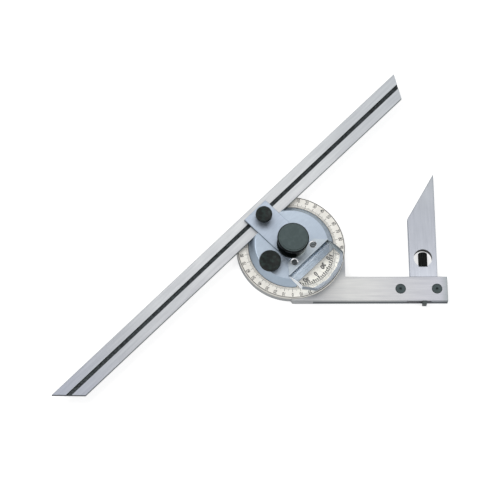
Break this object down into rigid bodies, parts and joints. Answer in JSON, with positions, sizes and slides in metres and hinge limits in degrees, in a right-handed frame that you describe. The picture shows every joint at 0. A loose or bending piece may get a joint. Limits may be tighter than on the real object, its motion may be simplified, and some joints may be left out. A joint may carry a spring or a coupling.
{
  "type": "universal bevel protractor",
  "caption": "Bevel protractor with a dial and turning turret, sliding grooved blade, vernier under a magnifier, fine adjustment and an acute angle attachment on its base bar.",
  "frame": {"origin": "on the turret axis, in the flat back plane of the stock", "axes": "+Z out of the dial, +X along the base bar to its free end, the working edge faces -Y"},
  "size_m": [0.243, 0.2095, 0.0234],
  "materials": {
    "stock_steel": "fine ground",
    "dial_satin_chrome": "satin, engraved and filled black",
    "turret_satin_steel": "satin",
    "blade_steel": "fine ground",
    "attachment_steel": "fine ground",
    "black_finished_steel": "matt black finish",
    "black_plastic": "fine matt",
    "plain_steel": "turned",
    "lens_glass": "polished"
  },
  "bodies": {
    "base": {"stock_body": "stock_steel", "bar_back_plate": "stock_steel", "bar_screws": "black_finished_steel", "dial_ring": "dial_satin_chrome", "dial_screws": "plain_steel", "base_gear": "plain_steel", "centre_stud": "plain_steel", "stud_screws": "plain_steel"},
    "turret": {"turret_body": "turret_satin_steel", "blade_arm": "turret_satin_steel", "arm_screws": "plain_steel", "vernier_plate": "dial_satin_chrome", "vernier_screws": "plain_steel", "lens_frame": "turret_satin_steel", "lens_frame_screws": "plain_steel", "magnifier_lens": "lens_glass"},
    "fine_adjust": {"fine_adjust_knob": "black_finished_steel", "pinion_shaft": "plain_steel"},
    "lock_pressure_washer": {"lock_washer": "plain_steel"},
    "lock": {"lock_knob": "black_plastic", "lock_knob_cap": "black_plastic"},
    "sliding_blade": {"blade": "blade_steel"},
    "clamp_pad": {"blade_clamp_pad": "plain_steel"},
    "clamp_knob": {"blade_clamp_knob": "black_finished_steel", "blade_clamp_screw": "plain_steel"},
    "attachment": {"acute_attachment": "attachment_steel"},
    "nut": {"attachment_nut": "black_finished_steel"},
    "bolt": {"attachment_bolt": "plain_steel"}
  },
  "joints": [
    {"name": "turret_turn", "type": "hinge", "parent": "base", "child": "turret", "pos_m": [0, 0, 0], "axis": [0, 0, 1], "continuous": true},
    {"name": "fine_adjust_turn", "type": "hinge", "parent": "turret", "child": "fine_adjust", "pos_m": [-0.01384, -0.0119, 0], "axis": [0, 0, 1], "continuous": true},
    {"name": "lock_lift", "type": "slide", "parent": "base", "child": "lock_pressure_washer", "axis": [0, 0, 1], "range_m": [0, 0.0005]},
    {"name": "lock_knob_turn", "type": "hinge", "parent": "lock_pressure_washer", "child": "lock", "pos_m": [0, 0, 0], "axis": [0, 0, 1], "range_deg": [0, 181]},
    {"name": "blade_slide", "type": "slide", "parent": "turret", "child": "sliding_blade", "axis": [0.7169, 0.6972, 0], "range_m": [-0.098, 0.138]},
    {"name": "clamp_pad_lift", "type": "slide", "parent": "turret", "child": "clamp_pad", "axis": [0, 0, 1], "range_m": [0, 0.0004]},
    {"name": "clamp_knob_turn", "type": "hinge", "parent": "clamp_pad", "child": "clamp_knob", "pos_m": [-0.01687, 0.01735, 0], "axis": [0, 0, 1], "range_deg": [0, 289]},
    {"name": "attachment_slide", "type": "slide", "parent": "base", "child": "attachment", "axis": [1, 0, 0], "range_m": [-0.0072, 0.0007]},
    {"name": "attachment_nut_turn", "type": "hinge", "parent": "attachment", "child": "nut", "pos_m": [0.08065, 0, 0.00285], "axis": [0, 1, 0], "range_deg": [0, 721]},
    {"name": "bolt_draw", "type": "slide", "parent": "attachment", "child": "bolt", "axis": [0, -1, 0], "range_m": [0, 0.001]}
  ],
  "couplings": [
    {"joint": "fine_adjust_turn", "follows": "turret_turn", "ratio": 3.8667},
    {"joint": "lock_knob_turn", "follows": "lock_lift", "rad_per_m": 6283.2},
    {"joint": "clamp_knob_turn", "follows": "clamp_pad_lift", "rad_per_m": 12566},
    {"joint": "attachment_nut_turn", "follows": "bolt_draw", "rad_per_m": 12566}
  ]
}
